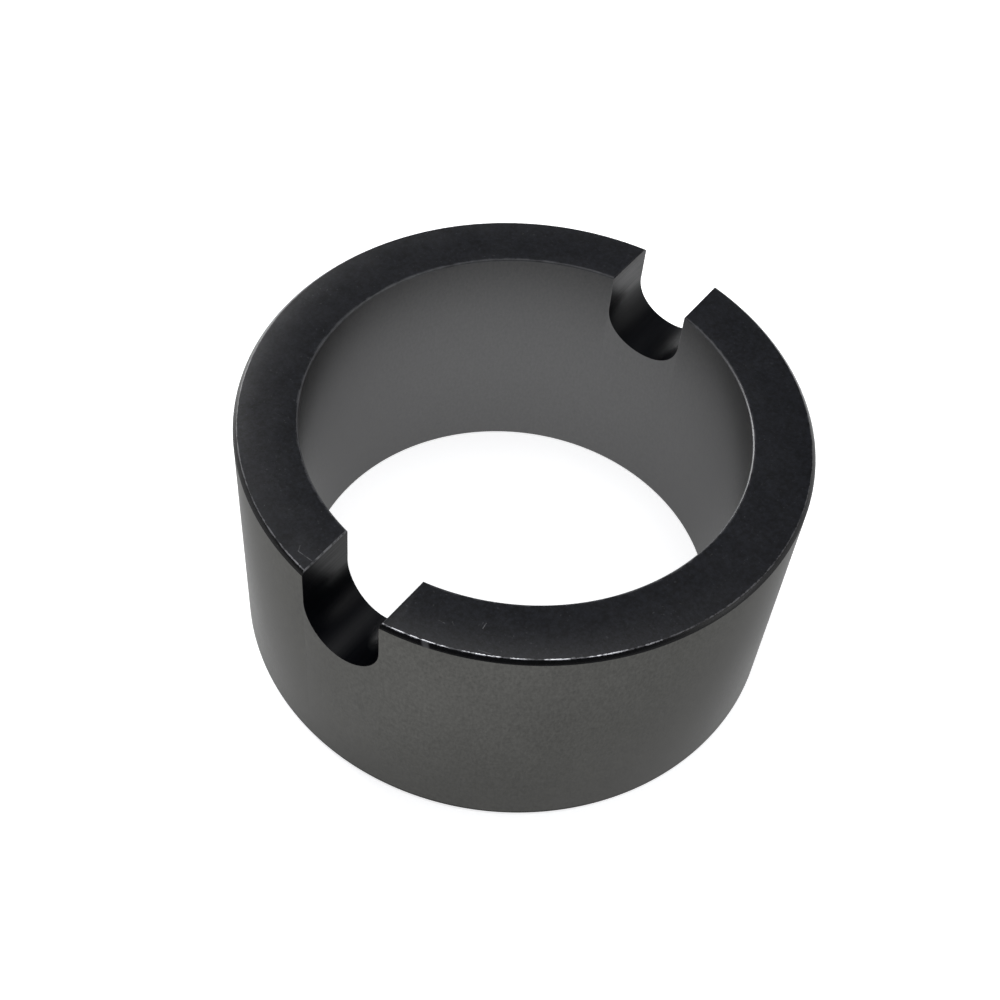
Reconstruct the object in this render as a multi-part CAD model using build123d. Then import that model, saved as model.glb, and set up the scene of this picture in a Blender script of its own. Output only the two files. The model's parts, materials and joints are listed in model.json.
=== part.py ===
"""Taper bush: a ground steel ring, slowly tapered outside, with a round-bottomed slot across its wide end.

The bush stands on its narrow end, centred on the Z axis, with that end's face at Z = 0.
The slot is one straight cut along Y, through both sides of the wall, and open at the wide end's face.
Lengths are in millimetres.
"""

import os

from build123d import *

# Ring
LENGTH = 31.5
BORE_DIAMETER = 50.0
WIDE_END_WALL = 7.0  # from the bore to the outside, in the plane of the slotted face
OUTSIDE_TAPER = 1 / 50  # outside diameter lost for each millimetre of length

# Ring edges, cut back at 45 degrees
OUTSIDE_CHAMFER = 0.45
BORE_EDGE_BREAK = 0.15

# Slot across the wide end
SLOT_WIDTH = 10.0
SLOT_DEPTH = 10.0  # from the face down to the lowest line of the round bottom
SLOT_EDGE_BREAK = 0.1  # at 45 degrees, where the slot's walls meet the face

# Worked out from the sizes above
bore_radius = BORE_DIAMETER / 2
wide_end_radius = bore_radius + WIDE_END_WALL
narrow_end_radius = wide_end_radius - LENGTH * OUTSIDE_TAPER / 2
slot_bottom_radius = SLOT_WIDTH / 2
slot_bottom_centre = LENGTH - SLOT_DEPTH + slot_bottom_radius


def ring_section() -> Sketch:
    """Half of the ring's section, to the right of the Z axis, with its four corners cut back."""
    with BuildSketch(Plane.XZ) as section:
        with BuildLine():
            Polyline(
                (bore_radius, 0),
                (narrow_end_radius, 0),
                (wide_end_radius, LENGTH),
                (bore_radius, LENGTH),
                close=True,
            )
        make_face()
        corners = section.vertices().sort_by(Axis.X)
        chamfer(corners[:2], length=BORE_EDGE_BREAK)
        chamfer(corners[2:], length=OUTSIDE_CHAMFER)
    return section.sketch


def slot_section() -> Sketch:
    """The slot's outline: a round bottom, straight walls, and a flare at the face that breaks their edges."""
    half_width = SLOT_WIDTH / 2
    with BuildSketch(Plane.XZ) as outline:
        with BuildLine():
            bottom = CenterArc((0, slot_bottom_centre), slot_bottom_radius, start_angle=270, arc_size=90)
            wall = Line(bottom @ 1, (half_width, LENGTH - SLOT_EDGE_BREAK))
            flare = Line(wall @ 1, (half_width + 2 * SLOT_EDGE_BREAK, LENGTH + SLOT_EDGE_BREAK))
            Line(flare @ 1, (0, LENGTH + SLOT_EDGE_BREAK))
            mirror(about=Plane.YZ)
        make_face()
    return outline.sketch


def taper_bush() -> Part:
    """The ring turned from its section, then slotted in one pass along Y."""
    ring = revolve(ring_section(), axis=Axis.Z)
    slot = extrude(slot_section(), amount=2 * wide_end_radius, both=True)
    return ring - slot


os.makedirs("parts", exist_ok=True)
bush = taper_bush()
bush.label = "bush"
export_step(bush, "parts/bush.step")
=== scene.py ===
"""Taper bush: one turned and slotted steel ring, blackened all over and then ground on its outside and bore.

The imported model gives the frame: the bush stands on its narrow end, centred on Z, and its slot runs along Y.
Sizes in the classes are in millimetres, and every finished mesh is in metres.
"""

import json
import logging
import math
from dataclasses import dataclass
from enum import Enum
from typing import Any
import bmesh
import bpy
from mathutils import Matrix, Vector


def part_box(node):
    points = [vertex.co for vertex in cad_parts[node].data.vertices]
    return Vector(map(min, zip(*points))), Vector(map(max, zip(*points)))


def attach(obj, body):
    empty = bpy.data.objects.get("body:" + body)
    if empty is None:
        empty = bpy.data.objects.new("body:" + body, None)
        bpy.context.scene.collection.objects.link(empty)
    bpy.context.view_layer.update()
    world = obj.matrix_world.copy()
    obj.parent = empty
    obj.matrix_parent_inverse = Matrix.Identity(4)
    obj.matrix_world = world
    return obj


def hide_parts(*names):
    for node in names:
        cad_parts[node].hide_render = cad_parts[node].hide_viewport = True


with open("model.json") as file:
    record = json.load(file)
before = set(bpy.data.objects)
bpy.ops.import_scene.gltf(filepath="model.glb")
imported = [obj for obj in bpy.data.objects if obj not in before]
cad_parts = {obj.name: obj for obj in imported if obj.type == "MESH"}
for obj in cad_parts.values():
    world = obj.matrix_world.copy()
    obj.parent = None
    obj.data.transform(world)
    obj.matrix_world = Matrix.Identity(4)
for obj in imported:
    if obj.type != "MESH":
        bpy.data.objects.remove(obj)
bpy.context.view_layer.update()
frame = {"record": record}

MM = 0.001
TINY = 1e-5

Colour = tuple[float, float, float]
Stretch = tuple[float, float, float]
Stops = tuple[tuple[float, float], ...]

log = logging.getLogger("taper_bush")


class Surface(Enum):
    """The finishes of the bush, numbered as its material slots."""

    GROUND = 0
    BLACK = 1
    SLOT = 2


class Signal:
    """A value on a node's output socket, so that shader maths can be written as Python."""

    def __init__(self, graph: "Graph", socket: bpy.types.NodeSocket) -> None:
        """Keeps the socket and the graph that new nodes are added to."""
        self.graph = graph
        self.socket = socket

    def maths(self, operation: str, *values: "Signal | float") -> "Signal":
        """Adds one Math node.

        Args:
            operation: the Math node's operation.
            values: its inputs in order, links or numbers.

        Returns:
            The node's result.
        """
        return self.graph.node("ShaderNodeMath", {"operation": operation}, dict(enumerate(values)))

    def __add__(self, other: "Signal | float") -> "Signal":
        """self + other."""
        return self.maths("ADD", self, other)

    def __radd__(self, other: float) -> "Signal":
        """other + self."""
        return self.maths("ADD", other, self)

    def __sub__(self, other: "Signal | float") -> "Signal":
        """self - other."""
        return self.maths("SUBTRACT", self, other)

    def __rsub__(self, other: float) -> "Signal":
        """other - self."""
        return self.maths("SUBTRACT", other, self)

    def __mul__(self, other: "Signal | float") -> "Signal":
        """self * other."""
        return self.maths("MULTIPLY", self, other)

    def __rmul__(self, other: float) -> "Signal":
        """other * self."""
        return self.maths("MULTIPLY", other, self)

    def __truediv__(self, other: "Signal | float") -> "Signal":
        """self / other."""
        return self.maths("DIVIDE", self, other)

    def __rtruediv__(self, other: float) -> "Signal":
        """other / self."""
        return self.maths("DIVIDE", other, self)

    def __pow__(self, other: "Signal | float") -> "Signal":
        """self ** other."""
        return self.maths("POWER", self, other)

    def __rpow__(self, other: float) -> "Signal":
        """other ** self."""
        return self.maths("POWER", other, self)

    def size(self) -> "Signal":
        """The value without its sign."""
        return self.maths("ABSOLUTE", self)

    def greatest(self, other: "Signal | float") -> "Signal":
        """The greater of self and other."""
        return self.maths("MAXIMUM", self, other)

    def least(self, other: "Signal | float") -> "Signal":
        """The lesser of self and other."""
        return self.maths("MINIMUM", self, other)

    def step(self, low: float, high: float) -> "Signal":
        """A smooth step.

        Args:
            low: the value at which the step is 0.
            high: the value at which it is 1; it may be below low, and the step then falls.

        Returns:
            A value from 0 to 1.
        """
        ends = {"Value": self, "From Min": low, "From Max": high}
        return self.graph.node("ShaderNodeMapRange", {"interpolation_type": "SMOOTHSTEP"}, ends)


class Graph:
    """A node tree with one way to add a node."""

    def __init__(self, tree: bpy.types.NodeTree) -> None:
        """Takes over a tree and clears it."""
        self.tree = tree
        self.tree.nodes.clear()

    def node(
        self,
        kind: str,
        settings: dict[str, Any] | None = None,
        inputs: dict[str | int, Any] | None = None,
        output: str | int = 0,
    ) -> Signal:
        """Adds one node.

        Args:
            kind: the node's type.
            settings: its own settings, which are set first; "stops" are a colour ramp's places and colours.
            inputs: values or signals for its sockets, by name, identifier or number.
            output: the socket to return, in the same way.

        Returns:
            The chosen output, or the input of an output node, which has none.
        """
        made = self.tree.nodes.new(kind)
        for name, value in (settings or {}).items():
            if name == "stops":
                self._set_stops(made.color_ramp.elements, value)
            else:
                setattr(made, name, value)
        for key, value in (inputs or {}).items():
            socket = self._socket(made.inputs, key)
            if isinstance(value, Signal):
                self.tree.links.new(value.socket, socket)
            else:
                socket.default_value = value
        return Signal(self, self._socket(made.outputs or made.inputs, output))

    @staticmethod
    def _set_stops(elements: Any, stops: Stops) -> None:
        """Sets a colour ramp's stops.

        Args:
            elements: the ramp's own stops.
            stops: the wanted ones, each a place and a grey level.
        """
        while len(elements) < len(stops):
            elements.new(1.0)
        for element, (place, level) in zip(elements, stops):
            element.position = place
            element.color = (level, level, level, 1.0)

    @staticmethod
    def _socket(sockets: Any, key: str | int) -> bpy.types.NodeSocket:
        """Finds one socket.

        Args:
            sockets: a node's inputs or outputs.
            key: the socket's number, identifier or name.

        Returns:
            The socket.
        """
        if isinstance(key, int):
            return sockets[key]
        return next(s for s in sockets if key in (s.identifier, s.name))

    def mix(self, factor: Signal | float, low: Any, high: Any) -> Signal:
        """Mixes two colours.

        Args:
            factor: 0 for the first colour and 1 for the second.
            low: the first colour, a link or three numbers.
            high: the second colour.

        Returns:
            The mixed colour.
        """
        ends = {key: value if isinstance(value, Signal) else (*value, 1.0)
                for key, value in (("A_Color", low), ("B_Color", high))}
        return self.node(
            "ShaderNodeMix", {"data_type": "RGBA"}, {"Factor_Float": factor, **ends}, "Result_Color"
        )

    def vector(self, operation: str, *values: Any, output: str | int = 0) -> Signal:
        """Adds one Vector Math node.

        Args:
            operation: the node's operation.
            values: its vector inputs in order.
            output: the result to return.

        Returns:
            The node's result.
        """
        return self.node("ShaderNodeVectorMath", {"operation": operation}, dict(enumerate(values)), output)

    def scale(self, vector: Signal, by: Signal | float) -> Signal:
        """The vector or colour times one number."""
        return self.node("ShaderNodeVectorMath", {"operation": "SCALE"}, {0: vector, "Scale": by})

    def noise(self, at: Signal, scale: float, detail: float = 2.0, roughness: float = 0.5) -> Signal:
        """Fractal noise.

        Args:
            at: where to read it.
            scale: how many features there are to one unit.
            detail: how many finer layers are added.
            roughness: how strong the finer layers are.

        Returns:
            A value about 0.5.
        """
        values = {"Vector": at, "Scale": scale, "Detail": detail, "Roughness": roughness}
        return self.node("ShaderNodeTexNoise", None, values)


@dataclass(frozen=True)
class Place:
    """Where a point of the bush is, in millimetres and in turns round its axis."""

    point: Signal
    x: Signal
    y: Signal
    z: Signal
    radius: Signal
    angle: Signal

    @classmethod
    def on(cls, graph: Graph) -> "Place":
        """Reads the place from the piece's Object coordinates.

        Args:
            graph: the tree to add the nodes to.

        Returns:
            The place, as signals.
        """
        metres = graph.node("ShaderNodeTexCoord", None, None, "Object")
        point = graph.scale(metres, 1 / MM)
        x, y, z = (graph.node("ShaderNodeSeparateXYZ", None, {0: point}, axis) for axis in "XYZ")
        radius = graph.vector("LENGTH", graph.vector("MULTIPLY", point, (1.0, 1.0, 0.0)), output="Value")
        angle = x.maths("ARCTAN2", y, x)
        return cls(point, x, y, z, radius, angle)


@dataclass(frozen=True)
class Finish:
    """What the bush's finishes share: how a material is made and given its nodes."""

    name: str

    def material(self, bush: "TaperBush") -> bpy.types.Material:
        """Makes the material.

        Args:
            bush: the bush, whose sizes place the wear.

        Returns:
            The finished material.
        """
        made = bpy.data.materials.new(self.name)
        made.use_nodes = True
        graph = Graph(made.node_tree)
        shader = self.shader(graph, Place.on(graph), bush)
        graph.node("ShaderNodeOutputMaterial", None, {"Surface": shader})
        return made

    def shader(self, graph: Graph, place: Place, bush: "TaperBush") -> Signal:
        """Makes the surface shader; each finish has its own."""
        raise NotImplementedError


@dataclass(frozen=True)
class GroundSteel(Finish):
    """Fine ground satin steel, on the outside and in the bore."""

    name: str = "ground_steel"
    # The bore's steel colour is lighter than the outside's: painted light that brightens the bore.
    outside: Colour = (0.0735, 0.073, 0.0685)
    bore: Colour = (0.116, 0.116, 0.1165)
    edge_tint: float = 0.58
    roughness: float = 0.38
    roughness_mottle: float = 0.12
    roughness_cloud: float = 0.06
    mottle_scale: float = 3.2
    mottle_stretch: Stretch = (1.0, 1.0, 0.55)
    cloud_scale: float = 0.16
    line_stretch: Stretch = (0.25, 0.25, 7.0)
    grain: float = 0.85
    grain_lost_in_bore: float = 0.6
    cloud_share: float = 0.3
    line_share: float = 0.2
    # Painted shadow: how much the outside is darkened just above the narrow end's chamfer, and where that band
    # starts and ends.
    painted_shadow_strength: float = 0.62
    painted_shadow_height: float = 0.38
    painted_shadow_start: float = 0.15
    bump_lines: float = 0.6
    bump_depth: float = 0.01
    bump_strength: float = 0.25

    def shader(self, graph: Graph, place: Place, bush: "TaperBush") -> Signal:
        """Mottled grain with faint grinding lines round the bush, a painted shadow along the foot of the
        outside, and painted light that lifts the bore.

        Args:
            graph: the tree to add the nodes to.
            place: where on the bush the surface is.
            bush: the bush, whose sizes place the wear.

        Returns:
            The Principled shader.
        """
        upright = graph.vector("MULTIPLY", place.point, self.mottle_stretch)
        mottle = graph.noise(upright, self.mottle_scale, 2.0, 0.6) - 0.5
        cloud = graph.noise(upright, self.cloud_scale, 3.0) - 0.5
        around = graph.vector("MULTIPLY", place.point, self.line_stretch)
        lines = graph.noise(around, 1.0, 2.0, 0.6) - 0.5
        inside = place.radius.step(bush.narrow_radius - 1, bush.bore_radius + 1)
        # Painted shadow: a thin darker band at the foot of the outside, standing in for the floor's contact
        # shadow seen in the steel.
        painted_shadow_low = bush.outside_chamfer + self.painted_shadow_start
        painted_shadow_high = bush.outside_chamfer + self.painted_shadow_height
        painted_foot_shadow = place.z.step(painted_shadow_high, painted_shadow_low) * (1 - inside)
        grain = self.grain * (1 - self.grain_lost_in_bore * inside)
        figure = mottle + self.cloud_share * cloud + self.line_share * lines
        tone = 1 + grain * figure - self.painted_shadow_strength * painted_foot_shadow
        # Painted light: the bore takes the lighter copy of the steel colour.
        colour = graph.scale(graph.mix(inside, self.outside, self.bore), tone)
        bump = graph.node("ShaderNodeBump", None, {
            "Height": lines * self.bump_lines + mottle,
            "Distance": self.bump_depth * MM,
            "Strength": self.bump_strength,
        })
        return graph.node("ShaderNodeBsdfPrincipled", None, {
            "Base Color": colour,
            "Metallic": 1.0,
            "Roughness": self.roughness + self.roughness_mottle * mottle + self.roughness_cloud * cloud,
            "Specular Tint": (self.edge_tint, self.edge_tint, self.edge_tint, 1.0),
            "Normal": bump,
        })


@dataclass(frozen=True)
class Scratch:
    """One handling mark on the wide face: a short straight line, or a dot where it has no length."""

    x: float
    y: float
    along: float = 0.0
    across: float = 0.0
    width: float = 0.07
    bright: float = 0.1
    core: float = 0.3

    def mask(self, graph: Graph, place: Place) -> Signal:
        """Where the mark is.

        Args:
            graph: not used.
            place: where on the bush the surface is.

        Returns:
            The mark's brightness on its line, and 0 off it.
        """
        run = self.along ** 2 + self.across ** 2
        over, up = place.x - self.x, place.y - self.y
        if run:
            share = (over * self.along + up * self.across) / run
            share = share.greatest(0.0).least(1.0)
            over, up = over - share * self.along, up - share * self.across
        off = (over * over + up * up) ** 0.5
        return off.step(self.width, self.width * self.core) * self.bright


@dataclass(frozen=True)
class BlackOxide(Finish):
    """Smooth black oxide with a soft gloss, on the ends and the chamfers."""

    name: str = "black_oxide"
    black: Colour = (0.0036, 0.0039, 0.0052)
    bare: Colour = (0.46, 0.46, 0.47)
    roughness: float = 0.34
    roughness_cloud: float = 0.14
    gloss: float = 0.2
    cloud_scale: float = 0.35
    cloud_share: float = 0.8
    mottle_scale: float = 2.4
    mottle_share: float = 5.5
    tone_least: float = 0.25
    tone_most: float = 3.0
    # Painted shade on the wide end's chamfer, as a share taken off its tone.
    painted_chamfer_shade: float = 0.75
    chamfer_roughness: float = 0.25
    bump_cloud: float = 0.3
    bump_depth: float = 0.02
    bump_strength: float = 0.5
    speck_bright: float = 0.05
    edge_wear: Stops = (
        (0.0, 0.06), (0.1, 0.09), (0.2, 0.22), (0.27, 0.95),
        (0.39, 1.0), (0.43, 0.16), (0.55, 0.12), (0.62, 0.06),
    )
    edge_reach: float = 0.02
    edge_reach_more: float = 0.1
    edge_least: float = 0.12
    bore_wear: float = 0.02
    bore_wear_more: float = 0.21
    beside_bore_wear: float = 0.06
    slot_wear: float = 0.04
    slot_wear_near_left: float = 0.22
    chamfer_mark: Scratch = Scratch(9.35, -29.95, 0.7, -0.5, width=0.42, bright=0.16)
    handling: tuple[Scratch, ...] = (
        Scratch(-7.15, -29.7, 2.05, -0.05, bright=0.12),
        Scratch(-7.1, -29.7, -0.35, 0.65, bright=0.08),
        Scratch(13.1, -25.3, -0.1, 0.7, bright=0.16),
        Scratch(12.8, -25.2, -0.1, 0.5, bright=0.08),
        Scratch(9.1, -27.3, 0.7, 0.1, bright=0.08),
        Scratch(10.3, -26.6, 0.35, -0.2, bright=0.09),
        Scratch(7.6, -26.2, bright=0.14),
        Scratch(11.7, -25.1, bright=0.1),
        Scratch(16.0, -24.1, width=0.1, bright=0.09),
        Scratch(12.8, -22.4, bright=0.1),
        Scratch(-13.7, -27.5, width=0.1, bright=0.12),
        Scratch(-9.8, -24.3, bright=0.1),
        Scratch(14.3, -27.6, 1.2, 0.4, width=0.06, bright=0.08),
        Scratch(22.0, -22.5, 0.1, 0.1, width=0.18, bright=0.5),
    )

    def shader(self, graph: Graph, place: Place, bush: "TaperBush") -> Signal:
        """Even black, rubbed through along the sharp edges, with painted shade on the wide end's chamfer.

        Args:
            graph: the tree to add the nodes to.
            place: where on the bush the surface is.
            bush: the bush, whose sizes place the wear.

        Returns:
            The Principled shader.
        """
        cloud = graph.noise(place.point, self.cloud_scale, 4.0, 0.65) - 0.5
        worn = self.rubbed_edge(graph, place, bush).greatest(self.rubbed_bore(graph, place, bush))
        worn = worn.greatest(self.rubbed_slot(graph, place, bush)).least(1.0)
        fine = self.specks(graph, place)
        gaps = graph.noise(place.point, 3.0, 2.0, 0.7).step(0.38, 0.56)
        for scratch in self.handling:
            fine = fine.greatest(scratch.mask(graph, place) * (0.25 + 0.75 * gaps))
        face = place.z.step(bush.length - 0.03, bush.length - 0.01)
        chamfer = self.on_chamfer(place, bush)
        mark = self.chamfer_mark.mask(graph, place) * chamfer
        bare = worn.greatest(fine * face).greatest(mark)
        mottle = graph.noise(place.point, self.mottle_scale, 3.0, 0.75) - 0.5
        tone = 1 + self.mottle_share * mottle + self.cloud_share * cloud
        # Painted shade: the chamfer's tone is darkened.
        tone = tone.greatest(self.tone_least).least(self.tone_most) * (1 - self.painted_chamfer_shade * chamfer)
        smoother = self.chamfer_roughness - self.roughness
        bump = graph.node("ShaderNodeBump", None, {
            "Height": self.bump_cloud * cloud,
            "Distance": self.bump_depth * MM,
            "Strength": self.bump_strength,
        })
        return graph.node("ShaderNodeBsdfPrincipled", None, {
            "Base Color": graph.mix(bare, graph.scale(self.black, tone), self.bare),
            "Metallic": bare,
            "Roughness": self.roughness + cloud * self.roughness_cloud + chamfer * smoother,
            "Specular IOR Level": self.gloss,
            "Normal": bump,
        })

    @staticmethod
    def on_chamfer(place: Place, bush: "TaperBush") -> Signal:
        """The wide end's outer chamfer.

        Args:
            place: where on the bush the surface is.
            bush: the bush, whose sizes place the chamfer.

        Returns:
            1 on the chamfer and 0 off it.
        """
        inner = bush.wide_radius - bush.outside_chamfer
        below = (bush.length - place.z).step(0.01, 0.04)
        return below * place.radius.step(inner, inner + 0.03)

    def specks(self, graph: Graph, place: Place) -> Signal:
        """Fine pale specks all over the face, denser near the edges.

        Args:
            graph: the tree to add the nodes to.
            place: where on the bush the surface is.

        Returns:
            A low brightness on the specks.
        """
        dust = graph.noise(place.point, 2.6, 2.0, 0.7).step(0.62, 0.76)
        patch = graph.noise(place.point, 0.3, 2.0).step(0.38, 0.62)
        return dust * (0.3 + 0.7 * patch) * self.speck_bright

    def rubbed_edge(self, graph: Graph, place: Place, bush: "TaperBush") -> Signal:
        """Where handling has rubbed the oxide off the edge between the wide face and its chamfer.

        Args:
            graph: the tree to add the nodes to.
            place: where on the bush the surface is.
            bush: the bush, whose sizes place the edge.

        Returns:
            1 on bare steel and 0 on oxide.
        """
        out = place.radius - (bush.wide_radius - bush.outside_chamfer)
        down = bush.length - place.z
        off = (out * out + down * down) ** 0.5
        turn = place.angle / math.tau + 0.5
        share = graph.node("ShaderNodeValToRGB", {"stops": self.edge_wear}, {"Fac": turn})
        long_breaks = graph.noise(place.point, 0.55, 3.0, 0.65).step(0.38, 0.53)
        fine_breaks = graph.noise(place.point, 2.4, 2.0, 0.7)
        reach = self.edge_reach + self.edge_reach_more * fine_breaks.step(0.3, 0.6)
        lasting = self.edge_least + (1 - self.edge_least) * long_breaks
        return (1 - off / reach).step(0.0, 0.5) * lasting * share

    def rubbed_bore(self, graph: Graph, place: Place, bush: "TaperBush") -> Signal:
        """The bore's edge break, which shows pale steel, and a faint line beside it on the face.

        Args:
            graph: the tree to add the nodes to.
            place: where on the bush the surface is.
            bush: the bush, whose sizes place the edge.

        Returns:
            1 on bare steel and 0 on oxide.
        """
        out = place.radius - bush.bore_radius
        breaks = graph.noise(place.point, 0.6, 3.0, 0.6)
        top = place.z.step(bush.length - 0.5, bush.length - 0.4)
        wear = self.bore_wear + self.bore_wear_more * breaks
        on_break = out.step(bush.bore_break + 0.04, bush.bore_break - 0.02) * wear
        beside = out.step(bush.bore_break + 0.2, bush.bore_break + 0.08)
        beside = beside * breaks.step(0.4, 0.6) * self.beside_bore_wear
        return on_break.greatest(beside) * top

    def rubbed_slot(self, graph: Graph, place: Place, bush: "TaperBush") -> Signal:
        """The slot's broken edges at the face, worn most beside the near side's left.

        Args:
            graph: the tree to add the nodes to.
            place: where on the bush the surface is.
            bush: the bush, whose sizes place the edges.

        Returns:
            1 on bare steel and 0 on oxide.
        """
        off = (place.x.size() - bush.slot_width / 2 - bush.slot_break / 2).size()
        top = place.z.step(bush.length - 0.2, bush.length - 0.12)
        near_left = place.x.step(0.5, -0.5) * place.y.step(0.5, -0.5)
        breaks = graph.noise(place.point, 0.9, 3.0, 0.65).step(0.3, 0.6)
        wear = self.slot_wear + self.slot_wear_near_left * near_left
        return off.step(0.14, 0.04) * top * breaks * wear


@dataclass(frozen=True)
class MilledBlack(BlackOxide):
    """Black oxide over the milled slot, with faint cutter streaks along it."""

    name: str = "milled_black"
    black: Colour = (0.0012, 0.0014, 0.0022)
    roughness: float = 0.36
    roughness_streak: float = 0.3
    gloss: float = 0.1
    streak_stretch: Stretch = (2.6, 0.12, 2.6)
    bump_strength: float = 0.4

    def shader(self, graph: Graph, place: Place, bush: "TaperBush") -> Signal:
        """Deep streaky black, rubbed through along the slot's broken edges.

        Args:
            graph: the tree to add the nodes to.
            place: where on the bush the surface is.
            bush: the bush, whose sizes place the wear.

        Returns:
            The Principled shader.
        """
        along_cut = graph.vector("MULTIPLY", place.point, self.streak_stretch)
        streak = graph.noise(along_cut, 1.0, 3.0, 0.6) - 0.5
        bare = self.rubbed_slot(graph, place, bush)
        bump = graph.node("ShaderNodeBump", None, {
            "Height": streak,
            "Distance": self.bump_depth * MM,
            "Strength": self.bump_strength,
        })
        return graph.node("ShaderNodeBsdfPrincipled", None, {
            "Base Color": graph.mix(bare, self.black, self.bare),
            "Metallic": bare,
            "Roughness": self.roughness + self.roughness_streak * streak,
            "Specular IOR Level": self.gloss,
            "Normal": bump,
        })


@dataclass
class TaperBush:
    """The bush: a slowly tapered ring, with a round-bottomed slot across its wide end."""

    bore_radius: float
    wide_radius: float
    narrow_radius: float
    length: float
    outside_chamfer: float = 0.45
    bore_break: float = 0.15
    slot_width: float = 10.0
    slot_depth: float = 10.0
    slot_break: float = 0.1
    corner_cut: float = 0.03
    ring_steps: int = 720
    slot_facets: int = 192

    @classmethod
    def from_frame(cls, node: str, outside_taper: float = 1 / 50) -> "TaperBush":
        """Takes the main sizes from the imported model.

        Args:
            node: the bush's node.
            outside_taper: outside diameter lost for each millimetre of length.

        Returns:
            The bush, with no mesh made yet.
        """
        low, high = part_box(node)
        bore = next(m for m in frame["record"]["mounts"] if m["name"] == "bore")
        length = (high.z - low.z) / MM
        widest = (high.x - low.x) / 2 / MM
        wide = widest + cls.outside_chamfer * outside_taper / 2
        return cls(bore["dims"]["r_mm"], wide, wide - length * outside_taper / 2, length)

    def build(self, finishes: dict[Surface, Finish]) -> bpy.types.Object:
        """Makes the finished piece.

        Args:
            finishes: the finish of each surface.

        Returns:
            The bush, in metres, in its place in the frame.
        """
        ring = bpy.data.objects.new("taper_bush", self._ring())
        cutter = bpy.data.objects.new("slot_cutter", self._slot_cutter())
        for piece in (ring, cutter):
            bpy.context.scene.collection.objects.link(piece)
            for surface in Surface:
                piece.data.materials.append(finishes[surface].material(self) if piece is ring else None)
        self._cut(ring, cutter)
        self._finish_mesh(ring.data)
        return ring

    def _ring(self) -> bpy.types.Mesh:
        """Spins the ring from its section, with its eight corners softened.

        Returns:
            The ring's mesh, in millimetres.
        """
        shape = bmesh.new()
        corners = ((self.bore_radius, 0.0), (self.narrow_radius, 0.0),
                   (self.wide_radius, self.length), (self.bore_radius, self.length))
        section = shape.faces.new([shape.verts.new((x, 0.0, z)) for x, z in corners])
        middle = (self.bore_radius + self.narrow_radius) / 2
        bore_side = [v for v in section.verts if v.co.x < middle]
        outer_side = [v for v in section.verts if v.co.x > middle]
        self._cut_corners(shape, bore_side, self.bore_break, 1)
        self._cut_corners(shape, outer_side, self.outside_chamfer, 1)
        self._cut_corners(shape, shape.verts[:], self.corner_cut, 2)
        bmesh.ops.delete(shape, geom=shape.faces[:], context="FACES_ONLY")
        bmesh.ops.spin(
            shape, geom=shape.verts[:] + shape.edges[:], cent=(0, 0, 0), axis=(0, 0, 1), dvec=(0, 0, 0),
            angle=math.tau, steps=self.ring_steps, use_merge=True, use_duplicate=False,
        )
        bmesh.ops.remove_doubles(shape, verts=shape.verts[:], dist=TINY)
        for face in shape.faces:
            face.material_index = self._surface_of(face).value
        return self._to_mesh(shape, "taper_bush")

    @staticmethod
    def _cut_corners(
        shape: bmesh.types.BMesh, corners: list[bmesh.types.BMVert], cut: float, segments: int
    ) -> None:
        """Cuts back or rounds corners of a flat outline.

        Args:
            shape: the outline.
            corners: its corners.
            cut: how far from the corner the cut starts.
            segments: 1 for a straight cut, more for a rounded one.
        """
        bmesh.ops.bevel(shape, geom=corners, offset=cut, affect="VERTICES",
                        segments=segments, profile=0.5, material=-1)

    def _surface_of(self, face: bmesh.types.BMFace) -> Surface:
        """Tells which finish a face of the ring has.

        Args:
            face: the face, in millimetres.

        Returns:
            Ground for the bore and the outside, black for the ends with their chamfers and edge breaks.
        """
        middle = face.calc_center_median()
        ground = self.outside_chamfer < middle.z < self.length - self.outside_chamfer
        return Surface.GROUND if ground else Surface.BLACK

    def _slot_cutter(self) -> bpy.types.Mesh:
        """Makes the bar that takes the slot away: a round bottom, straight walls and a flare at the face.

        Returns:
            The cutter's mesh, in millimetres.
        """
        shape = bmesh.new()
        half = self.slot_width / 2
        centre = self.length - self.slot_depth + half
        reach = self.wide_radius + half
        upright = Matrix.Translation((0, -reach, centre)) @ Matrix.Rotation(math.pi / 2, 4, "X")
        bmesh.ops.create_circle(shape, cap_ends=True, radius=half, segments=self.slot_facets, matrix=upright)
        bmesh.ops.bisect_plane(
            shape, geom=shape.verts[:] + shape.edges[:] + shape.faces[:], dist=TINY,
            plane_co=(0, 0, centre), plane_no=(0, 0, 1), clear_outer=True,
        )
        top = [e for e in shape.edges if all(abs(v.co.z - centre) < TINY for v in e.verts)]
        wall = self.length - self.slot_break - centre
        for rise, spread in ((wall, 1.0), (2 * self.slot_break, 1 + 2 * self.slot_break / half)):
            made = bmesh.ops.extrude_edge_only(shape, edges=top)["geom"]
            raised = [v for v in made if isinstance(v, bmesh.types.BMVert)]
            bmesh.ops.translate(shape, verts=raised, vec=(0, 0, rise))
            bmesh.ops.scale(shape, verts=raised, vec=(spread, 1, 1))
            edges = [e for e in made if isinstance(e, bmesh.types.BMEdge)]
            top = [e for e in edges if all(v in raised for v in e.verts)]
        swept = bmesh.ops.extrude_face_region(shape, geom=shape.faces[:])["geom"]
        far = [v for v in swept if isinstance(v, bmesh.types.BMVert)]
        bmesh.ops.translate(shape, verts=far, vec=(0, 2 * reach, 0))
        for face in shape.faces:
            face.material_index = Surface.SLOT.value
        return self._to_mesh(shape, "slot_cutter")

    @staticmethod
    def _to_mesh(shape: bmesh.types.BMesh, name: str) -> bpy.types.Mesh:
        """Turns the faces outward and writes the mesh.

        Args:
            shape: the finished shape, which is freed.
            name: the mesh's name.

        Returns:
            The mesh.
        """
        bmesh.ops.recalc_face_normals(shape, faces=shape.faces[:])
        mesh = bpy.data.meshes.new(name)
        shape.to_mesh(mesh)
        shape.free()
        return mesh

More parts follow.
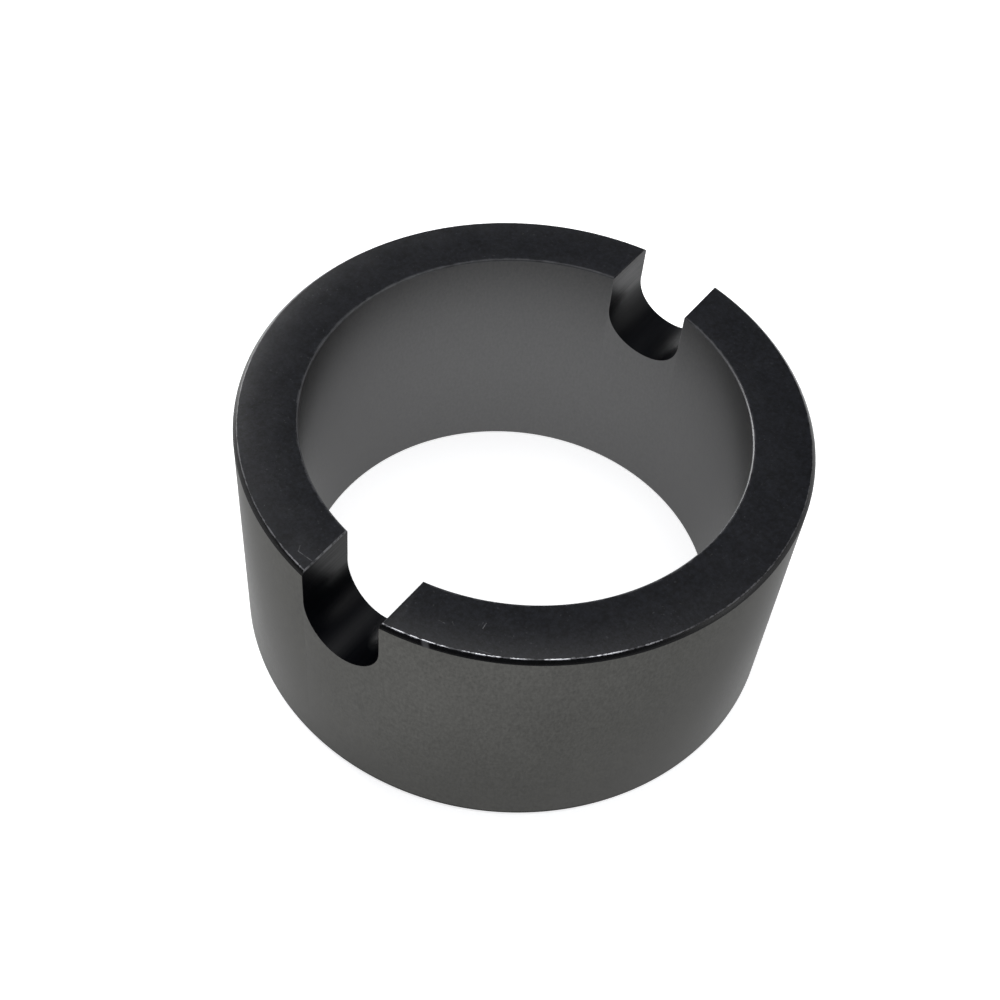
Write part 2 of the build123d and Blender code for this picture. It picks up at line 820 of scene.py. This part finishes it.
    @staticmethod
    def _cut(ring: bpy.types.Object, cutter: bpy.types.Object) -> None:
        """Takes the cutter away from the ring and removes it.

        Args:
            ring: the piece that is cut, whose mesh is replaced.
            cutter: the piece that cuts.
        """
        cut = ring.modifiers.new("slot", "BOOLEAN")
        cut.operation = "DIFFERENCE"
        cut.solver = "EXACT"
        cut.material_mode = "INDEX"
        cut.object = cutter
        bpy.context.view_layer.update()
        whole = ring.evaluated_get(bpy.context.evaluated_depsgraph_get())
        made = bpy.data.meshes.new_from_object(whole)
        ring.modifiers.clear()
        ring.data = made
        bpy.data.objects.remove(cutter)

    @staticmethod
    def _finish_mesh(mesh: bpy.types.Mesh, crease: float = math.radians(30)) -> None:
        """Closes the seams, smooths the turned faces and brings the mesh to metres.

        Args:
            mesh: the cut ring.
            crease: the angle over which an edge stays sharp.
        """
        shape = bmesh.new()
        shape.from_mesh(mesh)
        bmesh.ops.remove_doubles(shape, verts=shape.verts[:], dist=TINY)
        bmesh.ops.dissolve_degenerate(shape, edges=shape.edges[:], dist=TINY)
        bmesh.ops.recalc_face_normals(shape, faces=shape.faces[:])
        bmesh.ops.scale(shape, verts=shape.verts[:], vec=(MM, MM, MM))
        for face in shape.faces:
            face.smooth = True
        shape.to_mesh(mesh)
        shape.free()
        mesh.set_sharp_from_angle(angle=crease)


@dataclass(frozen=True)
class SoftBox:
    """A soft round lamp that looks at the bush. Lengths are in metres."""

    name: str
    azimuth: float
    elevation: float
    distance: float
    width: float
    power: float
    colour: Colour = (1.0, 1.0, 1.0)

    def hang(self, aim: Vector) -> bpy.types.Object:
        """Makes the lamp.

        Args:
            aim: the point that it faces, in metres.

        Returns:
            The lamp.
        """
        data = bpy.data.lights.new(self.name, "AREA")
        data.shape = "DISK"
        data.size = self.width
        data.energy = self.power
        data.color = self.colour
        lamp = bpy.data.objects.new(self.name, data)
        turn, lift = math.radians(self.azimuth), math.radians(self.elevation)
        away = Vector((math.cos(turn) * math.cos(lift), math.sin(turn) * math.cos(lift), math.sin(lift)))
        lamp.location = aim + away * self.distance
        lamp.rotation_euler = away.to_track_quat("Z", "Y").to_euler()
        bpy.context.scene.collection.objects.link(lamp)
        return lamp


@dataclass
class Studio:
    """A pale floor and backdrop, soft lamps and a plain grey room. Lengths are in metres."""

    floor_side: float = 6.0
    floor_drop: float = 0.00002
    pale: Colour = (0.6, 0.6, 0.6)
    floor_glow: float = 0.74
    backdrop_radius: float = 2.9
    backdrop_height: float = 1.1
    backdrop_glow: float = 1.0
    backdrop_facets: int = 96
    room_low: Colour = (0.07, 0.07, 0.07)
    room_high: Colour = (0.44, 0.46, 0.52)
    dark_below: float = 0.35
    lamps: tuple[SoftBox, ...] = (
        SoftBox("overhead_lamp", 120.0, 88.0, 0.9, 0.7, 4.2),
        SoftBox("left_lamp", 165.0, 20.0, 0.6, 0.38, 5.5),
        SoftBox("right_lamp", 20.0, 30.0, 0.9, 0.5, 1.2),
    )

    def build(self, aim: Vector) -> None:
        """Makes the floor, the backdrop, the lamps and the room.

        Args:
            aim: the point that the lamps face.
        """
        for part in (self._floor(), self._backdrop()):
            log.info("%s stands", part.name)
        for lamp in self.lamps:
            log.info("%s hangs", lamp.hang(aim).name)
        self._room()

    def _floor(self) -> bpy.types.Object:
        """Makes the floor, which looks white and keeps the bush's shadow.

        Returns:
            The floor.
        """
        shape = bmesh.new()
        bmesh.ops.create_grid(shape, x_segments=1, y_segments=1, size=self.floor_side / 2)
        bmesh.ops.translate(shape, verts=shape.verts[:], vec=(0, 0, -self.floor_drop))
        return self._stand("floor", shape, self.floor_glow)

    def _backdrop(self) -> bpy.types.Object:
        """Makes the round white wall that stands behind the bush on every side.

        Returns:
            The backdrop.
        """
        shape = bmesh.new()
        lift = Matrix.Translation((0, 0, self.backdrop_height / 2 - self.floor_drop))
        bmesh.ops.create_cone(
            shape, cap_ends=False, segments=self.backdrop_facets, radius1=self.backdrop_radius,
            radius2=self.backdrop_radius, depth=self.backdrop_height, matrix=lift,
        )
        bmesh.ops.reverse_faces(shape, faces=shape.faces[:])
        return self._stand("backdrop", shape, self.backdrop_glow)

    def _stand(self, name: str, shape: bmesh.types.BMesh, glow: float) -> bpy.types.Object:
        """Finishes one white part of the studio.

        Args:
            name: what it is called.
            shape: its shape, which is freed.
            glow: how strongly it glows for the rays that see it.

        Returns:
            The finished part.
        """
        mesh = bpy.data.meshes.new(name)
        shape.to_mesh(mesh)
        shape.free()
        part = bpy.data.objects.new(name, mesh)
        bpy.context.scene.collection.objects.link(part)
        mesh.materials.append(self._white(f"{name}_white", glow))
        return part

    def _white(self, name: str, glow: float) -> bpy.types.Material:
        """Makes a pale material that looks white to the camera, in gloss and through glass.

        Args:
            name: the material's name.
            glow: the strength that is added for those rays.

        Returns:
            The material.
        """
        made = bpy.data.materials.new(name)
        made.use_nodes = True
        graph = Graph(made.node_tree)
        camera, gloss, glass = (graph.node("ShaderNodeLightPath", None, None, f"Is {kind} Ray")
                                for kind in ("Camera", "Glossy", "Transmission"))
        seen = camera.greatest(gloss).greatest(glass)
        pale = graph.node("ShaderNodeBsdfDiffuse", None, {"Color": (*self.pale, 1.0)})
        light = graph.node("ShaderNodeEmission", None, {"Strength": seen * glow})
        both = graph.node("ShaderNodeAddShader", None, {0: pale, 1: light})
        graph.node("ShaderNodeOutputMaterial", None, {"Surface": both})
        return made

    def _room(self) -> None:
        """Lights the room from above, darker towards the horizon."""
        world = bpy.data.worlds.new("room")
        world.use_nodes = True
        graph = Graph(world.node_tree)
        way = graph.node("ShaderNodeTexCoord", None, None, "Generated")
        height = graph.node("ShaderNodeSeparateXYZ", None, {0: way}, "Z")
        grey = graph.mix(height.step(self.dark_below, 1.0), self.room_low, self.room_high)
        light = graph.node("ShaderNodeBackground", None, {"Color": grey})
        graph.node("ShaderNodeOutputWorld", None, {"Surface": light})
        bpy.context.scene.world = world


@dataclass(frozen=True)
class ViewPoint:
    """The camera, by its direction from the bush.

    Angles are in degrees. The distance and the shifts are in shares of the bush's wide radius.
    """

    azimuth: float = 32.23219
    elevation: float = 49.92632
    roll: float = 5.92131
    distance: float = 5.66412
    right: float = 0.09202
    up: float = 0.14758
    lens: float = 59.389
    lift: float = -0.04
    film_width: float = 36.0
    nearest: float = 0.01

    def build(self, bush: TaperBush) -> bpy.types.Object:
        """Makes the scene's camera.

        Args:
            bush: the bush, whose wide face's centre the directions start from.

        Returns:
            The camera.
        """
        turn, rise, roll = (math.radians(a) for a in (self.azimuth, self.elevation, self.roll))
        back = Vector((math.sin(turn) * math.cos(rise), -math.cos(turn) * math.cos(rise), math.sin(rise)))
        level = Vector((math.cos(turn), math.sin(turn), 0.0))
        across = Matrix.Rotation(roll, 3, back) @ level
        above = back.cross(across)
        data = bpy.data.cameras.new("camera")
        data.lens = self.lens
        data.sensor_width = self.film_width
        data.shift_y = self.lift
        data.clip_start = self.nearest
        camera = bpy.data.objects.new("camera", data)
        unit = bush.wide_radius * MM
        place = Vector((0, 0, bush.length * MM)) + unit * (
            self.distance * back - self.right * across - self.up * above
        )
        turned = Matrix((across, above, back)).transposed().to_4x4()
        camera.matrix_world = Matrix.Translation(place) @ turned
        bpy.context.scene.collection.objects.link(camera)
        bpy.context.scene.camera = camera
        return camera


def main() -> None:
    """Builds the bush and the studio round it."""
    logging.basicConfig(level=logging.INFO, format="%(name)s: %(message)s")
    bpy.context.scene.view_settings.view_transform = "Standard"
    bush = TaperBush.from_frame("bush")
    piece = bush.build({
        Surface.GROUND: GroundSteel(), Surface.BLACK: BlackOxide(), Surface.SLOT: MilledBlack(),
    })
    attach(piece, "root")
    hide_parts("bush")
    log.info("%s built, %d faces", piece.name, len(piece.data.polygons))
    Studio().build(Vector((0, 0, bush.length * MM / 2)))
    log.info("%s stands", ViewPoint().build(bush).name)


if __name__ == "__main__":
    main()
